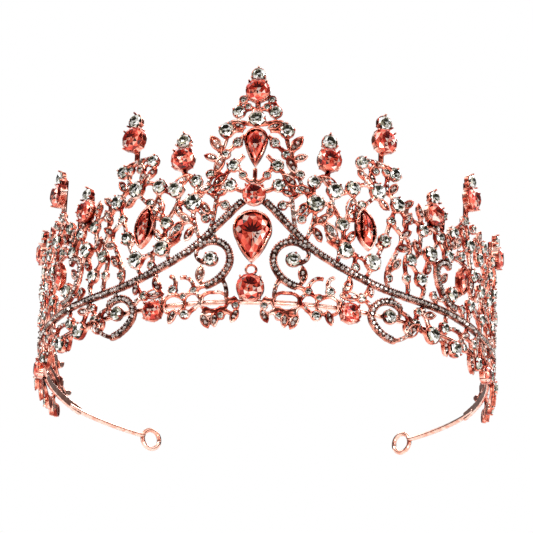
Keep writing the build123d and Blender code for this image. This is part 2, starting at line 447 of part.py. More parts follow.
def prongs(place, back, count=4, first=45.0):
    """Claws standing just outside the girdle."""
    u, z, radius = place
    length = girdle_out(radius, back) - back + PRONG * 2
    claw = Cylinder(PRONG, length, align=(Align.CENTER, Align.CENTER, Align.MIN))
    tip = Pos(0, 0, length) * Sphere(PRONG * PRONG_TIP)
    claws = []
    for k in range(count):
        spot = Rot(0, 0, first + 360 / count * k) * Pos(radius + CUP_WALL + PRONG * PRONG_STAND, 0, 0)
        claws += [facing(u, z, back) * spot * claw, facing(u, z, back) * spot * tip]
    return claws


def flipped(panel):
    """Mirror image of a casting's drawing."""
    stems, stones, leaves, bands, ovals = panel
    stems = [[(-u, z) for u, z in line] for line in stems]
    bands = [[(-u, z) for u, z in line] for line in bands]
    leaves = [(-u, z, length, width, 180 - turn) for u, z, length, width, turn in leaves]
    stones = [(-u, z, radius) for u, z, radius in stones]
    ovals = [(-u, z, width, height) for u, z, width, height in ovals]
    return stems, stones, leaves, bands, ovals


def drawing(panel, centre_u):
    """Everything in a motif, fused into one flat outline."""
    stems, stones, leaves, bands, ovals = panel
    faces = [stroke(line, centre_u) for line in stems]
    faces += [stroke(line, centre_u, PAVE_WIDTH) for line in bands]
    faces += [leaf_face(place, centre_u) for place in leaves]
    faces += [disc(place, centre_u) for place in stones]
    faces += [ring(place, centre_u) for place in ovals]
    return fused(faces)


def middle_u(line):
    return sum(u for u, z in line) / len(line)


def motifs(panel, borders):
    """The flat motifs that a casting is bent up from: (middle u, what the motif holds)."""
    stems, stones, leaves, bands, ovals = panel
    found = []
    for low, high in zip(borders, borders[1:]):
        part = (
            [line for line in stems if low <= middle_u(line) < high],
            [place for place in stones if low <= place[0] < high],
            [place for place in leaves if low <= place[0] < high],
            [line for line in bands if low <= middle_u(line) < high],
            [place for place in ovals if low <= place[0] < high],
        )
        found.append(((low + high) / 2, part))
    return found


def swoop_spans():
    """Lengths of the swoop: (the u that it is seen from, where it starts and ends as shares)."""
    path = FlatPath(SWOOP)
    spans = []
    for k in range(SWOOP_SPANS):
        start = max(0.0, k / SWOOP_SPANS - SWOOP_LAP)
        end = min(1.0, (k + 1) / SWOOP_SPANS + SWOOP_LAP)
        spans.append((path.place(path.length * (start + end) / 2)[0], start, end))
    return spans


def plate(centre_u, panel):
    """One flat motif with its collets still solid, trimmed where it meets the swoop."""
    near = [span for span in swoop_spans() if abs(span[0] - centre_u) < VIEW_REACH]
    trims = [stroke(SWOOP, centre_u, PAVE_WIDTH, start, end) for view, start, end in near]
    outline = drawing(panel, centre_u).cut(*trims)
    flat = Pos(0, 0, -PLATE / 2) * extrude(outline, PLATE)
    if panel[1]:
        flat = flat.fuse(*[collet(place, centre_u) for place in panel[1]])
    return facing(centre_u, 0.0) * flat


def casting(panel, borders):
    """Flat motifs side by side round the band, run together into one piece and bored for the stones."""
    parts = motifs(panel, borders)
    body = fused([plate(centre_u, part) for centre_u, part in parts])
    bores = [facing(u0, 0.0) * collet_bore(place, u0) for u0, part in parts for place in part[1]]
    return body.cut(*bores)


def crest_panel():
    """Openwork round the upper pear: both halves and what stands on the centre line."""
    halves = [left + right for left, right in zip(flipped(CREST), CREST)]
    halves[0] += CREST_SPINE
    halves[1] += [CREST_TOP]
    return halves


def swoop_band():
    """Long band of pave, from the apex down and round to the end of the hoop."""
    spans = swoop_spans()
    return fused([rolled(stroke(SWOOP, view, PAVE_WIDTH, start, end), view) for view, start, end in spans])


def headband_rail():
    """Round wire hoop behind the front and side castings."""
    path = ThreePointArc(*[at(u, RAIL_Z, RAIL_OUT) for u in (-STRIP_START, 0.0, STRIP_START)])
    return sweep(Plane(origin=path @ 0, z_dir=path % 0) * Circle(RAIL_RADIUS), path=path)


def rear_strip():
    """Flat strip soldered along the inside, from the headband wire to the tail."""
    middle = (STRIP_START + STRIP_END) / 2
    points = [(STRIP_START, RAIL_Z), (middle, STRIP_MIDDLE_Z), (STRIP_END, TAIL_Z)]
    return rolled(stroke(points, middle, STRIP_HEIGHT), middle, STRIP_THICK, RAIL_OUT)


def tail_wire():
    """Round wire that carries on from the strip and ends in a flat-bored eye loop."""
    places = [(STRIP_END, TAIL_Z), TAIL_MIDDLE, TAIL_TIP]
    path = ThreePointArc(*[at(u, z, RAIL_OUT) for u, z in places])
    wire = sweep(Plane(origin=path @ 0, z_dir=path % 0) * Circle(RAIL_RADIUS), path=path)
    eye = Torus(LOOP_RADIUS, LOOP_WIRE)
    land = Cylinder(LOOP_RADIUS, LOOP_LAND)
    hub = facing(LOOP_U, LOOP_Z, RAIL_OUT)
    bore = Cylinder(LOOP_BORE / 2, LOOP_RADIUS * 2)
    return fused([wire, hub * eye, hub * land]).cut(hub * bore)


def finial(u, coral_z, crystal_z, foot_z, coral_r, crystal_r):
    """Post with a large claw setting and a small one above it."""
    post = Cylinder(POST_RADIUS, crystal_z - foot_z, align=(Align.CENTER, Align.CENTER, Align.MIN))
    coral = (u, coral_z, coral_r)
    crystal = (u, crystal_z, crystal_r)
    body = [Pos(*at(u, foot_z, -PLATE / 2)) * post, cup(coral, FINIAL_BACK), cup(crystal, FINIAL_BACK)]
    body += prongs(coral, FINIAL_BACK)
    body += prongs(crystal, FINIAL_BACK, count=3, first=90.0)
    return fused(body).cut(seat(coral, FINIAL_BACK), seat(crystal, FINIAL_BACK))


def round_setting(place, back=CUP_BACK):
    """Single deep collet with claws."""
    return fused([cup(place, back)] + prongs(place, back)).cut(seat(place, back))


def drop_setting():
    """Round collet hung from a small link under the centre pear."""
    link = facing(0.0, LINK_Z, 0.5) * Torus(LINK_RADIUS, LINK_WIRE)
    return round_setting((0.0, DROP_Z, DROP_RADIUS), DROP_BACK).fuse(link)


def pear_outline(width, height):
    """Pear with its point down, centred on its overall height."""
    r = width / 2
    top = height / 2
    tip = Vector(0, -top, 0)
    centre = Vector(0, top - r, 0)
    lean = math.acos(r / (centre - tip).length)
    side = Vector(r * math.sin(lean), centre.Y - r * math.cos(lean), 0)
    bow = Vector(side.X / 2 + PEAR_FLANK_BOW * width, (side.Y + tip.Y) / 2, 0)
    right = ThreePointArc(tip, bow, side)
    round_top = ThreePointArc(side, (0, top, 0), (-side.X, side.Y, 0))
    left = ThreePointArc((-side.X, side.Y, 0), (-bow.X, bow.Y, 0), tip)
    return make_face([right, round_top, left])


def pear_setting(z, width, height):
    """Pear-shaped collet with an open front and a floor."""
    outer = extrude(pear_outline(width + 2 * PEAR_WALL, height + 2.4 * PEAR_WALL), PEAR_RISE)
    inner = extrude(pear_outline(width + 2 * SEAT_GAP, height + 2 * SEAT_GAP), PEAR_RISE)
    return facing(0.0, z, PEAR_BACK) * (outer - Pos(0, 0, PEAR_FLOOR) * inner)


def pear_corners(width, height):
    """Corners of a pear stone's girdle, anticlockwise from its point."""
    r = width / 2
    tip_z = -height / 2
    dome_z = height / 2 - r
    lean = math.acos(r / (dome_z - tip_z))
    first = -math.pi / 2 + lean
    last = math.pi * 1.5 - lean
    steps = PEAR_FACETS - 4
    dome = [first + (last - first) * k / steps for k in range(steps + 1)]
    corners = [(r * math.cos(a), dome_z + r * math.sin(a)) for a in dome]
    right = (corners[0][0] / 2 + PEAR_CORNER_BOW * width, (corners[0][1] + tip_z) / 2)
    left = (-right[0], right[1])
    return [(0.0, tip_z), right] + corners + [left]


def cut_on(corners, crown, depth):
    """Stone with flat facets on a many-cornered girdle at height 0."""
    middle_z = sum(z for x, z in corners) / len(corners)
    levels = []
    for height, share in ((-depth, 0.2), (0.0, 1.0), (crown, TABLE)):
        loop = [(x * share, middle_z + (z - middle_z) * share) for x, z in corners]
        levels.append(Pos(0, 0, height) * make_face(Polyline(*loop, close=True)))
    base, girdle, table = levels
    return loft([base, girdle], ruled=True) + loft([girdle, table], ruled=True)


def pear_stone(z, width, height):
    """Pear stone with flat facets below and above its girdle."""
    stone = cut_on(pear_corners(width, height), PEAR_CROWN, PEAR_DEPTH)
    return facing(0.0, z, PEAR_BACK + PEAR_FLOOR + PEAR_DEPTH) * stone


def navette_outline(width, height):
    return Rot(0, 0, 90) * leaf_outline(height, width)


def navette_setting(u, z, width, height, turn):
    """Boat-shaped collet."""
    outline = navette_outline(width + NAVETTE_EXTRA_WIDTH, height + NAVETTE_EXTRA_HEIGHT)
    outer = extrude(outline, NAVETTE_RISE)
    inner = extrude(navette_outline(width + 2 * SEAT_GAP, height + 2 * SEAT_GAP), NAVETTE_RISE)
    return facing(u, z, NAVETTE_BACK, turn) * (outer - Pos(0, 0, PEAR_FLOOR) * inner)


def navette_stone(u, z, width, height, turn):
    """Boat-shaped stone with flat facets."""
    reach = (height * height / 4 - width * width / 4) / width
    radius = reach + width / 2
    sweep_angle = math.asin(height / 2 / radius)
    steps = [sweep_angle * (2 * k / NAVETTE_FACETS - 1) for k in range(NAVETTE_FACETS)]
    right = [(radius * math.cos(a) - reach, radius * math.sin(a)) for a in steps]
    corners = right + [(-x, -y) for x, y in right]
    stone = cut_on(corners, NAVETTE_CROWN, NAVETTE_DEPTH)
    return facing(u, z, NAVETTE_BACK + PEAR_FLOOR + NAVETTE_DEPTH, turn) * stone


def brilliant(radius, sides=8):
    """Round stone with flat facets, girdle at z = 0 and its point down."""
    girdle = Plane.XY * RegularPolygon(radius, sides)
    culet = Plane.XY.offset(-PAVILION * radius) * RegularPolygon(radius * 0.12, sides)
    table = Plane.XY.offset(CROWN * radius) * RegularPolygon(radius * TABLE, sides)
    return loft([culet, girdle], ruled=True) + loft([girdle, table], ruled=True)


def flat_back(radius, sides=6):
    """Tiny flat-backed stone."""
    girdle = Plane.XY * RegularPolygon(radius, sides)
    table = Plane.XY.offset(radius * 0.8) * RegularPolygon(radius * TABLE, sides)
    return loft([girdle, table], ruled=True)


def set_stones(places, back=CUP_BACK):
    """Round stones dropped into their cups."""
    cut = {radius: brilliant(radius) for radius in {place[2] for place in places}}
    return [facing(u, z, girdle_out(r, back)) * cut[r] for u, z, r in places]


def motif_stones(low, high):
    """Clear stones of the right half's castings whose radius lies between two limits."""
    found = []
    for panel, borders in CASTINGS.values():
        for centre_u, part in motifs(panel, borders):
            flat = facing(centre_u, 0.0)
            for u, z, radius in part[1]:
                if low <= radius < high and u > 0.0:
                    found.append(flat * Pos(u - centre_u, z, girdle_out(radius)) * brilliant(radius))
    return found


def motif_leaf_gems():
    """Two tiny stones along each leaf of the right half's castings."""
    small = flat_back(LEAF_STONE)
    found = []
    for panel, borders in CASTINGS.values():
        for centre_u, part in motifs(panel, borders):
            flat = facing(centre_u, 0.0)
            for u, z, length, width, turn in part[2]:
                leaf = flat * Pos(u - centre_u, z, PLATE / 2) * Rot(0, 0, turn)
                found += [leaf * Pos(x * length, 0, 0) * small for x in (-0.2, 0.1) if u > 0.0]
    return found


def clear_of(u, z, part):
    """Whether a tiny stone on a stem stays clear of the collets and leaves of its motif."""
    for stone_u, stone_z, radius in part[1]:
        if math.hypot(u - stone_u, z - stone_z) < radius + CUP_WALL + STEM_STONE * 1.6:
            return False
    return all(math.hypot(u - place[0], z - place[1]) > place[2] / 2 for place in part[2])


def motif_stem_gems():
    """Tiny stones set along the stems of the right half's castings."""
    small = flat_back(STEM_STONE)
    found = []
    taken = []
    for panel, borders in CASTINGS.values():
        for centre_u, part in motifs(panel, borders):
            for line in part[0]:
                path = FlatPath(line)
                count = int((path.length - STEM_PITCH * 0.8) / STEM_PITCH)
                for k in range(count):
                    distance = (path.length - (count - 1) * STEM_PITCH) / 2 + k * STEM_PITCH
                    u, z = path.place(distance)
                    near = any(math.hypot(u - a, z - b) < STEM_STONE * 2.4 for a, b in taken)
                    if u < STEM_STONE * 2 or near or not clear_of(u, z, part):
                        continue
                    taken.append((u, z))
                    turn = Rot(0, 0, path.turn(distance))
                    found.append(facing(centre_u, z, PLATE / 2) * Pos(u - centre_u, 0, 0) * turn * small)
    return found


def pave_stones(points, centre_u=None):
    """Row of tiny stones down a pave band, flat if it belongs to a flat motif."""
    path = FlatPath(points)
    count = int((path.length - PAVE_PITCH) / PAVE_PITCH)
    start = (path.length - count * PAVE_PITCH) / 2
    small = flat_back(PAVE_STONE)
    stones = []
    for k in range(count + 1):
        distance = start + k * PAVE_PITCH
        u, z = path.place(distance)
        view = u if centre_u is None else centre_u
        spot = Pos(u - view, 0, 0) * Rot(0, 0, path.turn(distance))
        stones.append(facing(view, z, PLATE / 2) * spot * small)
    return stones


def scroll_stones():
    """Tiny stones of the pave bands inside the right half's castings."""
    found = []
    for panel, borders in CASTINGS.values():
        for centre_u, part in motifs(panel, borders):
            found += [gem for line in part[3] for gem in pave_stones(line, centre_u)]
    return found


def finial_stones(which):
    """Coral (which = 0) or crystal (which = 1) stones of the finials right of the centre."""
    return set_stones([(f[0], f[1 + which], f[4 + which]) for f in FINIALS], FINIAL_BACK)


def mirrored(shape):
    return mirror(shape, about=Plane.YZ)


def both_sides(solids):
    return solids + [mirrored(solid) for solid in solids]


def save(name, shapes):
    """Write one node."""
    shapes = list(shapes) if isinstance(shapes, (list, tuple)) else [shapes]
    solids = [solid for shape in shapes for solid in shape.solids()]
    node = solids[0] if len(solids) == 1 else Compound(children=solids)
    export_step(node, f"parts/{name}.step", write_pcurves=False)
    print(name, len(solids), round(sum(solid.volume for solid in solids), 1))


def save_pair(name, shape):
    save(f"{name}_right", shape)
    save(f"{name}_left", mirrored(shape))


# Each casting: what it is made of, and the borders between its flat motifs.
CASTINGS = {
    "crest_openwork": (crest_panel(), [-20.0, -6.0, 6.0, 20.0]),
    "front_openwork": (FRONT, [8.0, 22.0, 34.5, 53.0]),
    "front_hem": (FRONT_HEM, [0.0, 15.6, 26.5, 40.0]),
    "inner_scroll": (INNER, [4.0, 18.0]),
    "outer_scroll": (OUTER, [36.0, 50.0]),
    "side_openwork": (SIDE, [46.0, 60.0, 73.5, 84.0, 96.0]),
    "side_hem": (SIDE_HEM, [45.0, 62.5, 78.5, 94.0]),
    "rear_openwork": (REAR, [88.0, 104.6, 117.6, 130.0, 145.0]),
    "rear_hem": (REAR_HEM, [88.0, 103.0, 117.0, 138.0]),
}

save("headband_rail", headband_rail())
save_pair("rear_strip", rear_strip())
save_pair("tail_wire", tail_wire())

castings = {name: casting(*recipe) for name, recipe in CASTINGS.items()}
crest_casting = castings.pop("crest_openwork")
castings["swoop_band"] = swoop_band()
save("crest_openwork", crest_casting)
for name, shape in castings.items():
    save_pair(name, shape)


def cut_back(setting, *shapes):
    """The setting without what the shapes take up, and without any loose crumb that leaves."""
    return max(setting.cut(*shapes).solids(), key=lambda solid: solid.volume)


def notched(setting, *names):
    """A setting of the right half, cut back where castings run into it."""
    return cut_back(setting, *[castings[name] for name in names])


def notched_centre(setting, *names):
    """A setting on the centre line, cut back where castings of either side run into it."""
    right = [castings[name] for name in names]
    return cut_back(setting, *right, *[mirrored(shape) for shape in right])


save("finial_centre", cut_back(finial(*CENTRE_FINIAL), crest_casting))
finial_neighbours = ["front_openwork", "front_openwork", "side_openwork", "side_openwork", "rear_openwork"]
for number, place in enumerate(FINIALS, 1):
    save_pair(f"finial_{number}", notched(finial(*place), finial_neighbours[number - 1]))

save("centre_pear_setting", notched_centre(pear_setting(PEAR_Z, PEAR_WIDTH, PEAR_HEIGHT), "inner_scroll"))
upper_pear = pear_setting(UPPER_PEAR_Z, UPPER_PEAR_WIDTH, UPPER_PEAR_HEIGHT)
save("upper_pear_setting", cut_back(upper_pear, crest_casting))
apex = cut_back(round_setting((0.0, APEX_Z, APEX_RADIUS)), crest_casting)
save("apex_setting", notched_centre(apex, "swoop_band"))
save("drop_setting", notched_centre(drop_setting(), "front_hem"))
save_pair("navette_setting", notched(navette_setting(*NAVETTE), "front_openwork"))
save_pair("side_navette_setting", notched(navette_setting(*SIDE_NAVETTE), "side_openwork"))
save_pair("lower_round_setting", notched(round_setting(LOWER_ROUND), "front_hem", "outer_scroll"))
save_pair("side_round_setting", notched(round_setting(SIDE_ROUND), "side_hem", "rear_hem"))

save("centre_pear_stone", pear_stone(PEAR_Z, PEAR_WIDTH, PEAR_HEIGHT))
save("upper_pear_stone", pear_stone(UPPER_PEAR_Z, UPPER_PEAR_WIDTH, UPPER_PEAR_HEIGHT))
save("apex_stone", set_stones([(0.0, APEX_Z, APEX_RADIUS)]))
save("drop_stone", set_stones([(0.0, DROP_Z, DROP_RADIUS)], DROP_BACK))
save("navette_stones", both_sides([navette_stone(*NAVETTE), navette_stone(*SIDE_NAVETTE)]))
save("lower_coral_stones", both_sides(set_stones([LOWER_ROUND, SIDE_ROUND])))
centre_stones = [(0.0, CENTRE_FINIAL[1], CENTRE_FINIAL[4]), (0.0, CENTRE_FINIAL[2], CENTRE_FINIAL[5])]
save("finial_coral_stones", both_sides(finial_stones(0)) + set_stones(centre_stones[:1], FINIAL_BACK))
save("finial_crystal_stones", both_sides(finial_stones(1)) + set_stones(centre_stones[1:], FINIAL_BACK))
save("clear_stones_large", both_sides(motif_stones(LARGE_FROM, BAND_RADIUS)) + set_stones([CREST_TOP]))
save("clear_stones_small", both_sides(motif_stones(0.0, LARGE_FROM)))
save("swoop_pave_stones", both_sides(pave_stones(SWOOP)))
save("scroll_pave_stones", both_sides(scroll_stones()))
save("leaf_and_stem_stones", both_sides(motif_leaf_gems() + motif_stem_gems()))
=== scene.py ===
"""High-quality looks of the bridal tiara, in the CAD's frame (metres, +Z up, front faces -Y)."""

import math
import random

import bmesh
import bpy
import numpy as np
from mathutils import Matrix, Vector


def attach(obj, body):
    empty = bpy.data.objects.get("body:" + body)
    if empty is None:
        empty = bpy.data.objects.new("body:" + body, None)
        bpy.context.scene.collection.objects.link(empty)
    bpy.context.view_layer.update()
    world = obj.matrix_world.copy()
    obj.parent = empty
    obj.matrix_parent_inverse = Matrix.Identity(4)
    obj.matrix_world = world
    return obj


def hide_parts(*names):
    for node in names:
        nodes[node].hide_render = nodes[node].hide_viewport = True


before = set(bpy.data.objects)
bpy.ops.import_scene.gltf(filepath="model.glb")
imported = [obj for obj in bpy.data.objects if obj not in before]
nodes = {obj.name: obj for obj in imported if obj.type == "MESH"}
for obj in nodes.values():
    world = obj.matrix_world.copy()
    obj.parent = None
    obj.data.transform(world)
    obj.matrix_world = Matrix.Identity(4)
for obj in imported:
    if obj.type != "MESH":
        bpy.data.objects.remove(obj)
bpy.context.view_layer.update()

MM = 0.001
BAND_RADIUS = 73.0 * MM
HOOP_Y = 8.475 * MM  # the hoop's axis
RAIL_REACH = BAND_RADIUS - 1.45 * MM
WIRE = 0.78 * MM
LOOP_U, LOOP_Z = 182.0 * MM, 5.766 * MM
RAIL_Z, TAIL_Z = 8.766 * MM, 7.2 * MM
LOOP_RADIUS = 3.3 * MM
FLOOR_Z = -0.35
ROUND_SPREAD = 1.09  # a claw-set stone overhangs its cup a little
TINY_SPREAD = 1.12

CASTINGS = ["swoop_band", "front_openwork", "front_hem", "inner_scroll", "outer_scroll", "side_openwork"]
CASTINGS += ["side_hem", "rear_openwork", "rear_hem"]
# castings that get the darker rose gold, painted shade between their pave stones
DARK_CASTINGS = ["swoop_band", "inner_scroll", "outer_scroll"]
SETTINGS = ["finial_1", "finial_2", "finial_3", "finial_4", "finial_5", "navette_setting"]
SETTINGS += ["side_navette_setting", "lower_round_setting", "side_round_setting"]
CENTRE_SETTINGS = ["finial_centre", "centre_pear_setting", "upper_pear_setting", "apex_setting"]
CENTRE_SETTINGS += ["drop_setting"]


# ---------------------------------------------------------------- materials
def new_material(name):
    material = bpy.data.materials.new(name)
    material.use_nodes = True
    tree = material.node_tree
    return material, tree, tree.nodes["Principled BSDF"]


def ramp(tree, source, stops, smooth=True):
    """Colour ramp fed by a socket; stops are (position, colour)."""
    node = tree.nodes.new("ShaderNodeValToRGB")
    node.color_ramp.interpolation = "LINEAR" if smooth else "CONSTANT"
    elements = node.color_ramp.elements
    while len(elements) > 1:
        elements.remove(elements[-1])
    for k, (position, colour) in enumerate(stops):
        element = elements[0] if k == 0 else elements.new(position)
        element.position = position
        element.color = (*colour, 1.0)
    tree.links.new(source, node.inputs["Fac"])
    return node.outputs["Color"]


def noise(tree, scale, detail=4.0, roughness=0.55):
    place = tree.nodes.new("ShaderNodeTexCoord")
    node = tree.nodes.new("ShaderNodeTexNoise")
    node.inputs["Scale"].default_value = scale
    node.inputs["Detail"].default_value = detail
    node.inputs["Roughness"].default_value = roughness
    tree.links.new(place.outputs["Object"], node.inputs["Vector"])
    return node.outputs["Fac"]


def scaled(tree, source, low, high):
    node = tree.nodes.new("ShaderNodeMapRange")
    node.inputs["To Min"].default_value = low
    node.inputs["To Max"].default_value = high
    tree.links.new(source, node.inputs["Value"])
    return node.outputs["Result"]


def mixed(tree, kind, amount, first, second):
    node = tree.nodes.new("ShaderNodeMix")
    node.data_type = "RGBA"
    node.blend_type = kind
    node.inputs["Factor"].default_value = amount
    tree.links.new(first, node.inputs["A"])
    tree.links.new(second, node.inputs["B"])
    return node.outputs["Result"]


def rose_gold(name, pale, tint, dark, rough_low, rough_high, bump_strength):
    """Plated rose gold: tint drifts, and painted shade darkens the hollows (ambient occlusion) and the concave
    creases (pointiness).
    """
    material, tree, shader = new_material(name)
    drift = ramp(tree, noise(tree, 320.0), [(0.4, dark), (0.5, tint), (0.62, pale)])
    # painted shade: ambient occlusion darkens the colour in hollows and crevices
    hollow = tree.nodes.new("ShaderNodeAmbientOcclusion")
    hollow.samples = 8
    hollow.inputs["Distance"].default_value = 0.0016
    shade = ramp(tree, hollow.outputs["AO"], [(0.35, (0.05, 0.012, 0.01)), (0.85, (1.0, 1.0, 1.0))])
    geometry = tree.nodes.new("ShaderNodeNewGeometry")
    # painted shade: low pointiness darkens the colour in concave creases
    crease_shade = ramp(tree, geometry.outputs["Pointiness"], [(0.46, (0.5, 0.3, 0.25)), (0.52, (1.0, 1.0, 1.0))])
    body = mixed(tree, "MULTIPLY", 0.9, drift, shade)
    tree.links.new(mixed(tree, "MULTIPLY", 0.6, body, crease_shade), shader.inputs["Base Color"])
    shader.inputs["Metallic"].default_value = 1.0
    rough = scaled(tree, noise(tree, 900.0, 3.0), rough_low, rough_high)
    tree.links.new(rough, shader.inputs["Roughness"])
    bump = tree.nodes.new("ShaderNodeBump")
    bump.inputs["Strength"].default_value = bump_strength
    bump.inputs["Distance"].default_value = 0.0001
    tree.links.new(noise(tree, 1500.0, 4.0), bump.inputs["Height"])
    tree.links.new(bump.outputs["Normal"], shader.inputs["Normal"])
    return material


def foiled_glass(name, stops, metallic):
    """Foil-backed cut glass: every facet gets its own painted reflection, from painted shade to painted
    highlight, under a clear polished skin.
    """
    material, tree, shader = new_material(name)
    # painted reflections: each facet's stored value picks its colour from the ramp
    facet_light = tree.nodes.new("ShaderNodeAttribute")
    facet_light.attribute_name = "facet_light"
    colour = ramp(tree, facet_light.outputs["Fac"], stops)
    haze = ramp(tree, noise(tree, 1400.0, 2.0), [(0.35, (0.8, 0.8, 0.8)), (0.65, (1, 1, 1))])
    tree.links.new(mixed(tree, "MULTIPLY", 0.6, colour, haze), shader.inputs["Base Color"])
    shader.inputs["Metallic"].default_value = metallic
    rough = scaled(tree, noise(tree, 3000.0, 2.0), 0.06, 0.16)
    tree.links.new(rough, shader.inputs["Roughness"])
    shader.inputs["Coat Weight"].default_value = 0.35
    shader.inputs["Coat Roughness"].default_value = 0.03
    bump = tree.nodes.new("ShaderNodeBump")
    bump.inputs["Strength"].default_value = 0.08
    bump.inputs["Distance"].default_value = 0.00004
    tree.links.new(noise(tree, 1800.0, 2.0), bump.inputs["Height"])
    tree.links.new(bump.outputs["Normal"], shader.inputs["Normal"])
    return material


cast_metal = rose_gold(
    "cast_rose_gold", (1.0, 0.64, 0.53), (0.8, 0.22, 0.14), (0.26, 0.03, 0.02),
    0.1, 0.24, 0.2,
)
# darker copy of the rose gold for the pave castings and milgrain: painted shade for the shadowed gaps between
# pave stones
pave_metal = rose_gold(
    "pave_rose_gold", (0.8, 0.34, 0.25), (0.36, 0.1, 0.065), (0.08, 0.02, 0.014),
    0.12, 0.28, 0.2,
)
# paler copy of the rose gold for the headband wire, tails and rear strips: painted highlight on the thin wires
wire_metal = rose_gold(
    "wire_rose_gold", (1.0, 0.7, 0.6), (0.95, 0.55, 0.44), (0.8, 0.38, 0.28),
    0.1, 0.22, 0.15,
)
# facet ramps: painted reflections, from painted shade near black to painted highlight near white
CORAL = [(0.0, (0.02, 0.001, 0.001)), (0.2, (0.14, 0.006, 0.004)), (0.38, (0.6, 0.03, 0.015))]
CORAL += [(0.6, (1.0, 0.13, 0.07)), (0.8, (1.0, 0.36, 0.25)), (0.92, (1.0, 0.75, 0.66))]
CLEAR = [(0.0, (0.003, 0.003, 0.002)), (0.24, (0.03, 0.026, 0.015)), (0.4, (0.24, 0.22, 0.14))]
CLEAR += [(0.58, (0.75, 0.75, 0.66)), (0.76, (1.0, 1.0, 0.97)), (1.0, (1.0, 1.0, 1.0))]
PAVE = [(0.0, (0.01, 0.007, 0.006)), (0.25, (0.12, 0.08, 0.06)), (0.5, (0.6, 0.46, 0.4))]
PAVE += [(0.75, (1.0, 0.9, 0.85)), (1.0, (1.0, 1.0, 1.0))]
coral_glass = foiled_glass("coral_glass", CORAL, 0.55)
clear_glass = foiled_glass("clear_glass", CLEAR, 0.55)
pave_glass = foiled_glass("pave_glass", PAVE, 0.5)


# ---------------------------------------------------------------- mesh helpers
class Build:
    """Vertices and faces collected for one piece, with a painted facet light value for each face."""

    def __init__(self):
        self.points = []
        self.faces = []
        self.facet_lights = []

    def add(self, points, faces, facet_lights=None):
        first = len(self.points)
        self.points += [tuple(p) for p in points]
        self.faces += [tuple(first + k for k in face) for face in faces]
        self.facet_lights += facet_lights or [0.5] * len(faces)

    def piece(self, name, material, smooth, replaced):
        mesh = bpy.data.meshes.new(name)
        mesh.from_pydata(self.points, [], self.faces)
        mesh.update()
        facet_light = mesh.attributes.new("facet_light", "FLOAT", "FACE")
        facet_light.data.foreach_set("value", np.array(self.facet_lights, dtype=np.float32))
        mesh.polygons.foreach_set("use_smooth", [smooth] * len(mesh.polygons))
        mesh.materials.append(material)
        shown = bpy.data.objects.new(name, mesh)
        bpy.context.scene.collection.objects.link(shown)
        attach(shown, "root")
        if replaced:
            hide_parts(*replaced)
        return shown


def unit_ball(subdivisions):
    bm = bmesh.new()
    bmesh.ops.create_icosphere(bm, subdivisions=subdivisions, radius=1.0)
    bm.verts.ensure_lookup_table()
    points = np.array([v.co[:] for v in bm.verts])
    faces = [tuple(v.index for v in f.verts) for f in bm.faces]
    bm.free()
    return points, faces


BEAD = unit_ball(1)
CLAW = unit_ball(2)


def loose_parts(name):
    """Vertex coordinates of each separate solid of a CAD node."""
    mesh = nodes[name].data
    places = np.empty(len(mesh.vertices) * 3)
    mesh.vertices.foreach_get("co", places)
    places = places.reshape(-1, 3)
    keys = {}
    parent = []
    where = []
    for place in places:
        key = tuple(np.round(place * 2e6 / 8).astype(int))
        if key not in keys:
            keys[key] = len(parent)
            parent.append(len(parent))
        where.append(keys[key])

    def root(k):
        while parent[k] != k:
            parent[k] = parent[parent[k]]
            k = parent[k]
        return k

    for polygon in mesh.polygons:
        first = root(where[polygon.vertices[0]])
        for vertex in polygon.vertices[1:]:
            parent[root(where[vertex])] = first
    groups = {}
    for k, place in enumerate(places):
        groups.setdefault(root(where[k]), []).append(place)
    return [np.unique(np.round(np.array(group), 8), axis=0) for group in groups.values()]


def outward(x, y):
    """Unit vector straight out from the hoop's axis."""
    reach = math.hypot(x, y - HOOP_Y)
    return np.array([x / reach, (y - HOOP_Y) / reach, 0.0])


def axes_at(centre):
    """(sideways, up, out) at a place on the band."""
    out = outward(centre[0], centre[1])
    up = np.array([0.0, 0.0, 1.0])
    return np.cross(up, out), up, out


def on_band(u, z, reach):
    """A point from its distance round the band, its height and its distance from the axis."""
    angle = u / BAND_RADIUS
    return np.array([reach * math.sin(angle), HOOP_Y - reach * math.cos(angle), z])


# ---------------------------------------------------------------- stones
def read_round(part):
    """(centre of the girdle, radius) of a round stone."""
    middle = (part.min(axis=0) + part.max(axis=0)) / 2
    side, up, out = axes_at(middle)
    across = (part - middle) @ side
    height = part[:, 2]
    centre_across = (across.min() + across.max()) / 2
    centre_z = (height.min() + height.max()) / 2
    radii = np.hypot(across - centre_across, height - centre_z)
    radius = radii.max()
    girdle = ((part - middle) @ out)[radii > radius * 0.98].mean()
    centre = middle + side * centre_across + out * girdle
    centre[2] = centre_z
    return centre, radius


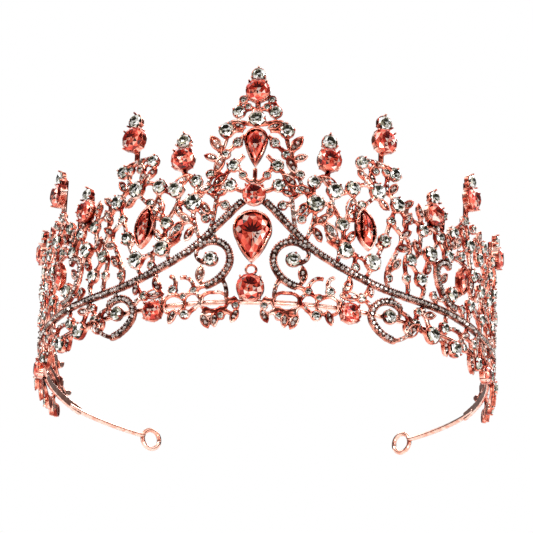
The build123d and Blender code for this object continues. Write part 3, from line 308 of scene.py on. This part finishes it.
def cut_stone(build, outline, centre, frame_axes, crown, depth, rng, dark):
    """Faceted stone on any closed outline of (sideways, up) pairs about its centre."""
    side, up, out = frame_axes
    count = len(outline)
    ring = np.array(outline)
    mean = ring.mean(axis=0)
    between = (ring + np.roll(ring, -1, axis=0)) / 2

    def level(shape, share, height):
        flat = mean + (shape - mean) * share
        return [centre + side * a + up * b + out * height for a, b in flat]

    rings = [
        level(ring, 0.12, -depth),
        level(ring, 1.0, -crown * 0.12),
        level(ring, 1.0, crown * 0.1),
        level(between, 0.84, crown * 0.55),
        level(ring, 0.6, crown),
        level(between, 0.3, crown * 0.97),
        [centre + side * mean[0] + up * mean[1] + out * crown * 0.94],
    ]
    points = [p for row in rings for p in row]
    start = np.cumsum([0] + [len(row) for row in rings])
    faces = []
    facet_lights = []

    # each facet's painted reflection, from painted shade at 0 to painted highlight at 1
    def facet_light(low, high):
        facet_lights.append(min(1.0, max(0.0, rng.uniform(low, high))))

    for k in range(count):
        n = (k + 1) % count
        for level_from, level_to in ((0, 1), (1, 2)):
            a, b = start[level_from], start[level_to]
            faces.append((a + k, a + n, b + n, b + k))
            facet_light(0.1, 0.5)
        girdle, mid, table, star, top = start[2], start[3], start[4], start[5], start[6]
        p = (k - 1) % count
        faces.append((girdle + k, girdle + n, mid + k))
        facet_light(0.0, 0.9)
        faces.append((mid + p, girdle + k, mid + k))
        facet_light(0.2, 1.0)
        faces.append((mid + p, mid + k, table + k))
        facet_light(0.25, 1.0)
        faces.append((table + k, mid + k, table + n))
        facet_light(0.0, 1.0)
        # painted shade: table and star facets on the upper half of the stone get darker painted reflections
        shaded = ring[k][1] > mean[1]
        faces.append((table + k, table + n, star + k))
        facet_light(dark, 0.5 if shaded else 1.0)
        faces.append((star + p, table + k, star + k))
        facet_light(0.0, 0.2 if shaded else 0.6)
        faces.append((star + p, star + k, top))
        facet_light(0.0 if shaded else 0.5, 0.2 if shaded else 1.0)
    faces.append(tuple(start[0] + k for k in reversed(range(count))))
    facet_lights.append(0.2)
    build.add(points, [tuple(int(v) for v in face) for face in faces], facet_lights)


def round_outline(radius, count, turn):
    return [(radius * math.cos(turn + k * math.tau / count), radius * math.sin(turn + k * math.tau / count))
            for k in range(count)]


def shaped_outline(part, count):
    """(centre, outline) of a pear or navette stone, read from its widest section."""
    middle = (part.min(axis=0) + part.max(axis=0)) / 2
    side, up, out = axes_at(middle)
    local = part - middle
    flat = np.stack([local @ side, local @ up, local @ out], axis=1)
    heights = np.round(flat[:, 2], 6)
    best = max(set(heights), key=lambda h: np.hypot(*flat[np.abs(heights - h) < 2e-6][:, :2].T).max())
    edge = flat[np.abs(heights - best) < 3e-6][:, :2]
    angle = np.arctan2(edge[:, 1], edge[:, 0])
    edge = edge[np.argsort(angle)]
    loop = np.vstack([edge, edge[:1]])
    length = np.concatenate([[0], np.cumsum(np.hypot(*np.diff(loop, axis=0).T))])
    tip = length[np.argmax(np.hypot(*edge.T))]
    marks = (tip + np.arange(count) * length[-1] / count) % length[-1]
    outline = [(np.interp(m, length, loop[:, 0]), np.interp(m, length, loop[:, 1])) for m in marks]
    return middle + out * best, outline


def round_stones(name, sources, material, dark, seed, count=8):
    """Rebuilds the round stones of some CAD nodes; returns their places for the claws."""
    rng = random.Random(seed)
    build = Build()
    places = []
    for source in sources:
        for part in loose_parts(source):
            centre, radius = read_round(part)
            outline = round_outline(radius * ROUND_SPREAD, count, rng.uniform(0, math.tau))
            cut_stone(build, outline, centre, axes_at(centre), radius * 0.42, radius * 0.6, rng, dark)
            places.append((centre, radius))
    build.piece(name, material, False, sources)
    return places


def shaped_stones(name, sources, count, material, dark, seed):
    rng = random.Random(seed)
    build = Build()
    places = []
    for source in sources:
        for part in loose_parts(source):
            centre, outline = shaped_outline(part, count)
            cut_stone(build, outline, centre, axes_at(centre), 1.5 * MM, 1.0 * MM, rng, dark)
            places.append((centre, outline))
    build.piece(name, material, False, sources)
    return places


def tiny_stones(name, source, material, seed):
    """Six-sided pave stones with a table split into facets; returns their places in order."""
    rng = random.Random(seed)
    build = Build()
    places = []
    for part in loose_parts(source):
        middle = (part.min(axis=0) + part.max(axis=0)) / 2
        side, up, out = axes_at(middle)
        local = part - middle
        base = (local @ out).min()
        radius = np.hypot(local @ side, local @ up).max() * TINY_SPREAD
        centre = middle + out * base
        outline = round_outline(radius, 6, rng.uniform(0, math.tau))
        points = [centre + side * a + up * b for a, b in outline]
        points += [centre + side * a * 0.62 + up * b * 0.62 + out * radius * 0.8 for a, b in outline]
        points.append(centre + out * radius * 0.84)
        faces = []
        facet_lights = []
        for k in range(6):
            n = (k + 1) % 6
            faces += [(k, n, 6 + n, 6 + k), (6 + k, 6 + n, 12)]
            # random painted reflections for the side and table facets
            facet_lights += [rng.uniform(0.0, 0.9), rng.uniform(0.15, 1.0)]
        build.add(points, faces, facet_lights)
        places.append((centre, radius))
    build.piece(name, material, False, [source])
    return places


large = round_stones("clear_rounds_large", ["clear_stones_large"], clear_glass, 0.1, 11)
small = round_stones("clear_rounds_small", ["clear_stones_small"], clear_glass, 0.1, 12)
round_stones("finial_crystals", ["finial_crystal_stones"], clear_glass, 0.1, 13)
round_stones("finial_corals", ["finial_coral_stones"], coral_glass, 0.2, 14, 10)
lower = round_stones("lower_corals", ["lower_coral_stones"], coral_glass, 0.1, 15, 10)
centre_rounds = round_stones("centre_corals", ["apex_stone", "drop_stone"], coral_glass, 0.1, 16, 10)
pears = shaped_stones("pear_stones", ["centre_pear_stone", "upper_pear_stone"], 14, coral_glass,
                      0.3, 17)
boats = shaped_stones("boat_stones", ["navette_stones"], 12, coral_glass, 0.3, 18)
swoop_gems = tiny_stones("swoop_pave", "swoop_pave_stones", pave_glass, 19)
scroll_gems = tiny_stones("scroll_pave", "scroll_pave_stones", pave_glass, 20)
leaf_gems = tiny_stones("leaf_pave", "leaf_and_stem_stones", pave_glass, 21)
leaf_gems = [place for place in leaf_gems if place[1] > 0.52 * MM * TINY_SPREAD]  # the smaller ones are on stems


# ---------------------------------------------------------------- metal
def cast_piece(name, sources, voxel, rounds, metal):
    """Softened cast skin over CAD nodes: sharp machined edges become polished round ones."""
    bm = bmesh.new()
    for source in sources:
        bm.from_mesh(nodes[source].data)
    bmesh.ops.remove_doubles(bm, verts=bm.verts, dist=1e-7)
    mesh = bpy.data.meshes.new(name + "_rough")
    bm.to_mesh(mesh)
    bm.free()
    rough = bpy.data.objects.new(name + "_rough", mesh)
    bpy.context.scene.collection.objects.link(rough)
    skin = rough.modifiers.new("skin", "REMESH")
    skin.mode = "VOXEL"
    skin.voxel_size = voxel
    soften = rough.modifiers.new("soften", "SMOOTH")
    soften.factor = 0.5
    soften.iterations = rounds
    depsgraph = bpy.context.evaluated_depsgraph_get()
    finished = bpy.data.meshes.new_from_object(rough.evaluated_get(depsgraph))
    finished.name = name
    bpy.data.objects.remove(rough)
    bpy.data.meshes.remove(mesh)
    finished.polygons.foreach_set("use_smooth", [True] * len(finished.polygons))
    finished.materials.clear()
    finished.materials.append(metal)
    shown = bpy.data.objects.new(name, finished)
    bpy.context.scene.collection.objects.link(shown)
    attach(shown, "root")
    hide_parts(*sources)


for casting in CASTINGS:
    for hand in ("right", "left"):
        metal = pave_metal if casting in DARK_CASTINGS else cast_metal
        node = f"{casting}_{hand}"
        cast_piece(f"cast_{node}", [node], 0.36 * MM, 2, metal)
cast_piece("cast_crest", ["crest_openwork"], 0.28 * MM, 3, cast_metal)
for setting in SETTINGS:
    for hand in ("right", "left"):
        node = f"{setting}_{hand}"
        cast_piece(f"set_{node}", [node], 0.26 * MM, 2, cast_metal)
for setting in CENTRE_SETTINGS:
    cast_piece(f"set_{setting}", [setting], 0.24 * MM, 2, cast_metal)


def tube(build, path, radius, sides=12, closed=False):
    """Round tube along points, with flat caps on open ends."""
    path = [np.array(p) for p in path]
    count = len(path)
    points = []
    faces = []
    for k, place in enumerate(path):
        if closed:
            along = path[(k + 1) % count] - path[k - 1]
        else:
            along = path[min(k + 1, count - 1)] - path[max(k - 1, 0)]
        along = along / np.linalg.norm(along)
        out = outward(place[0], place[1])
        first = out - along * (out @ along)
        first = first / np.linalg.norm(first)
        second = np.cross(along, first)
        for j in range(sides):
            angle = j * math.tau / sides
            points.append(place + (first * math.cos(angle) + second * math.sin(angle)) * radius)
    for k in range(count if closed else count - 1):
        a, b = k * sides, (k + 1) % count * sides
        for j in range(sides):
            n = (j + 1) % sides
            faces.append((a + j, a + n, b + n, b + j))
    if not closed:
        faces.append(tuple(reversed(range(sides))))
        faces.append(tuple((count - 1) * sides + j for j in range(sides)))
    build.add(points, faces)


def band_line(ends, height, steps):
    """Points of a wire on the inside of the band between two places round it."""
    first, last = ends
    rows = []
    for k in range(steps + 1):
        share = k / steps
        rows.append(on_band(first + (last - first) * share, height(share), RAIL_REACH))
    return rows


rail = Build()
tube(rail, band_line((-114 * MM, 114 * MM), lambda t: RAIL_Z, 160), WIRE)
rail.piece("headband_wire", wire_metal, True, ["headband_rail"])

for hand, sign in (("right", 1), ("left", -1)):
    tail = Build()
    ends = (sign * 140 * MM, sign * 178.9 * MM)
    tube(tail, band_line(ends, lambda t: TAIL_Z - 0.7 * MM * t * t, 60), WIRE)
    hub = on_band(sign * LOOP_U, LOOP_Z, RAIL_REACH)
    side, up, out = axes_at(hub)
    eye = [hub + (side * math.cos(a) + up * math.sin(a)) * LOOP_RADIUS
           for a in np.linspace(0, math.tau, 48, endpoint=False)]
    tube(tail, eye, WIRE, closed=True)
    tail.piece(f"tail_{hand}", wire_metal, True, [f"tail_wire_{hand}"])
    cast_piece(f"strip_{hand}", [f"rear_strip_{hand}"], 0.2 * MM, 4, wire_metal)


# ---------------------------------------------------------------- claws, beads and leaf rims
def blob(build, shape, centre, radii, frame_axes):
    points, faces = shape
    side, up, out = frame_axes
    placed = [centre + side * x * radii[0] + up * y * radii[1] + out * z * radii[2] for x, y, z in points]
    build.add(placed, faces)


def claws_round(build, places, count, rng):
    """Small pulled claws that lean over each girdle."""
    for centre, radius in places:
        side, up, out = axes_at(centre)
        turn = rng.uniform(0, math.tau)
        grip = min(0.4 * MM, radius * 0.2 + 0.08 * MM)
        for k in range(count):
            angle = turn + k * math.tau / count
            way = side * math.cos(angle) + up * math.sin(angle)
            spot = centre + way * (radius + 0.08 * MM) + out * 0.15 * MM
            blob(build, CLAW, spot, (grip * 0.9, grip * 0.9, grip * 1.7), (way, np.cross(out, way), out))


rng = random.Random(31)
claws = Build()
claws_round(claws, large + small, 4, rng)
claws.piece("claws_clear", cast_metal, True, [])
claws = Build()
claws_round(claws, centre_rounds + lower, 6, rng)
for centre, outline in pears + boats:
    side, up, out = axes_at(centre)
    for a, b in outline:
        way = side * a + up * b
        spot = centre + way * (1 + 0.25 * MM / np.linalg.norm(way)) + out * 0.2 * MM
        blob(claws, CLAW, spot, (0.34 * MM, 0.34 * MM, 0.6 * MM), (side, up, out))
claws.piece("claws_coral", cast_metal, True, [])


def chains(places, reach):
    """Splits ordered places into runs whose neighbours are close."""
    runs = []
    for centre, radius in places:
        if runs and np.linalg.norm(runs[-1][-1] - centre) < reach:
            runs[-1].append(centre)
        else:
            runs.append([centre])
    return runs


def bead_rows(build, places, aside):
    """Milgrain beads along both edges of a pave band."""
    for run in chains(places, 2.2 * MM):
        if len(run) < 3:
            continue
        for k, centre in enumerate(run):
            along = run[min(k + 1, len(run) - 1)] - run[max(k - 1, 0)]
            along = along / np.linalg.norm(along)
            out = outward(centre[0], centre[1])
            across = np.cross(out, along)
            for half in (-0.25, 0.25):
                for way in (-1, 1):
                    spot = centre + along * half * 1.5 * MM + across * way * aside + out * 0.12 * MM
                    blob(build, BEAD, spot, (0.33 * MM, 0.33 * MM, 0.36 * MM), (along, across, out))


beads = Build()
bead_rows(beads, swoop_gems, 0.95 * MM)
bead_rows(beads, scroll_gems, 0.95 * MM)
beads.piece("milgrain", pave_metal, True, [])

rims = Build()
for k in range(0, len(leaf_gems) - 1, 2):
    stalk, tip = leaf_gems[k][0], leaf_gems[k + 1][0]
    span = np.linalg.norm(tip - stalk)
    if span > 3 * MM:
        continue
    length = span / 0.3
    out = outward(stalk[0], stalk[1])
    along = (tip - stalk) / span
    across = np.cross(out, along)
    middle = stalk + along * length * 0.2
    rim = []
    for way in (1, -1):
        for j in range(8):
            t = -1 + 2 * j / 8 if way > 0 else 1 - 2 * j / 8
            bulge = (1 - t * t) * 0.22 * length
            rim.append(middle + along * t * length * 0.5 + across * way * bulge + out * 0.05 * MM)
    tube(rims, rim, 0.3 * MM, sides=6, closed=True)
rims.piece("leaf_rims", cast_metal, True, [])


# ---------------------------------------------------------------- floor, light and camera
floor_mesh = bpy.data.meshes.new("floor")
floor_mesh.from_pydata([(-4, -4, FLOOR_Z), (4, -4, FLOOR_Z), (4, 4, FLOOR_Z), (-4, 4, FLOOR_Z)], [],
                       [(0, 1, 2, 3)])
floor = bpy.data.objects.new("floor", floor_mesh)
bpy.context.scene.collection.objects.link(floor)
floor_material, floor_tree, floor_shader = new_material("floor_paper")
pale = ramp(floor_tree, noise(floor_tree, 3.0), [(0.3, (0.9, 0.9, 0.9)), (0.7, (0.94, 0.94, 0.94))])
floor_tree.links.new(pale, floor_shader.inputs["Base Color"])
floor_shader.inputs["Roughness"].default_value = 0.8
floor_mesh.materials.append(floor_material)


def aimed(place, target):
    direction = Vector(target) - Vector(place)
    return direction.to_track_quat("-Z", "Y").to_matrix().to_4x4()


def soft_light(name, place, size, power, colour):
    data = bpy.data.lights.new(name, "AREA")
    data.shape = "RECTANGLE"
    data.size, data.size_y = size
    data.energy = power
    data.color = colour
    lamp = bpy.data.objects.new(name, data)
    lamp.matrix_world = Matrix.Translation(place) @ aimed(place, (0.0, 0.0, 0.04))
    bpy.context.scene.collection.objects.link(lamp)


soft_light("key", (-0.55, -0.75, 0.65), (0.3, 0.2), 4.0, (1.0, 0.98, 0.96))
soft_light("fill", (0.75, -0.6, 0.2), (0.14, 0.5), 1.8, (0.97, 0.98, 1.0))
soft_light("low", (0.1, -0.7, -0.3), (0.4, 0.08), 1.0, (1.0, 0.97, 0.95))
soft_light("back", (0.2, 0.7, 0.6), (0.5, 0.25), 4.0, (1.0, 1.0, 1.0))

world = bpy.data.worlds.new("studio")
bpy.context.scene.world = world
world.use_nodes = True
sky = world.node_tree
background = sky.nodes["Background"]
coordinates = sky.nodes.new("ShaderNodeTexCoord")
split = sky.nodes.new("ShaderNodeSeparateXYZ")
sky.links.new(coordinates.outputs["Generated"], split.inputs["Vector"])
height = scaled(sky, split.outputs["Z"], 0.0, 1.0)
height.node.inputs["From Min"].default_value = -1.0
BANDS = [(0.0, (0.4, 0.38, 0.37)), (0.3, (0.15, 0.14, 0.14)), (0.44, (0.05, 0.045, 0.045))]
BANDS += [(0.51, (2.2, 2.15, 2.1)), (0.56, (0.12, 0.11, 0.11)), (0.68, (0.2, 0.19, 0.19))]
BANDS += [(0.78, (0.06, 0.06, 0.06)), (0.87, (3.4, 3.4, 3.4)), (0.94, (0.3, 0.3, 0.3))]
BANDS += [(1.0, (0.9, 0.9, 0.9))]
studio = ramp(sky, height, BANDS)
rays = sky.nodes.new("ShaderNodeLightPath")
seen = sky.nodes.new("ShaderNodeMix")
seen.data_type = "RGBA"
sky.links.new(rays.outputs["Is Camera Ray"], seen.inputs["Factor"])
sky.links.new(studio, seen.inputs["A"])
seen.inputs["B"].default_value = (1.0, 1.0, 1.0, 1.0)
sky.links.new(seen.outputs["Result"], background.inputs["Color"])

settings = bpy.context.scene.view_settings
settings.view_transform = "Standard"
settings.look = "None"

TARGET = Vector((0.4, -11.125, 40.37)) * MM
LOOK_DOWN = math.radians(-21.25)
YAW = math.radians(4.41)
ROLL = math.radians(2.18)
DISTANCE = 0.8
level = math.cos(LOOK_DOWN)
back = Vector((math.sin(YAW) * level, -math.cos(YAW) * level, math.sin(LOOK_DOWN)))
right = Vector((math.cos(YAW), math.sin(YAW), 0.0))
above = back.cross(right)
right_rolled = right * math.cos(ROLL) + above * math.sin(ROLL)
above_rolled = above * math.cos(ROLL) - right * math.sin(ROLL)
lens = bpy.data.cameras.new("camera")
lens.sensor_width = 36.0
lens.lens = 168.6
lens.clip_start = 0.01
camera = bpy.data.objects.new("camera", lens)
camera.matrix_world = Matrix.Translation(TARGET + back * DISTANCE) @ Matrix(
    (right_rolled, above_rolled, back)).transposed().to_4x4()
bpy.context.scene.collection.objects.link(camera)
bpy.context.scene.camera = camera
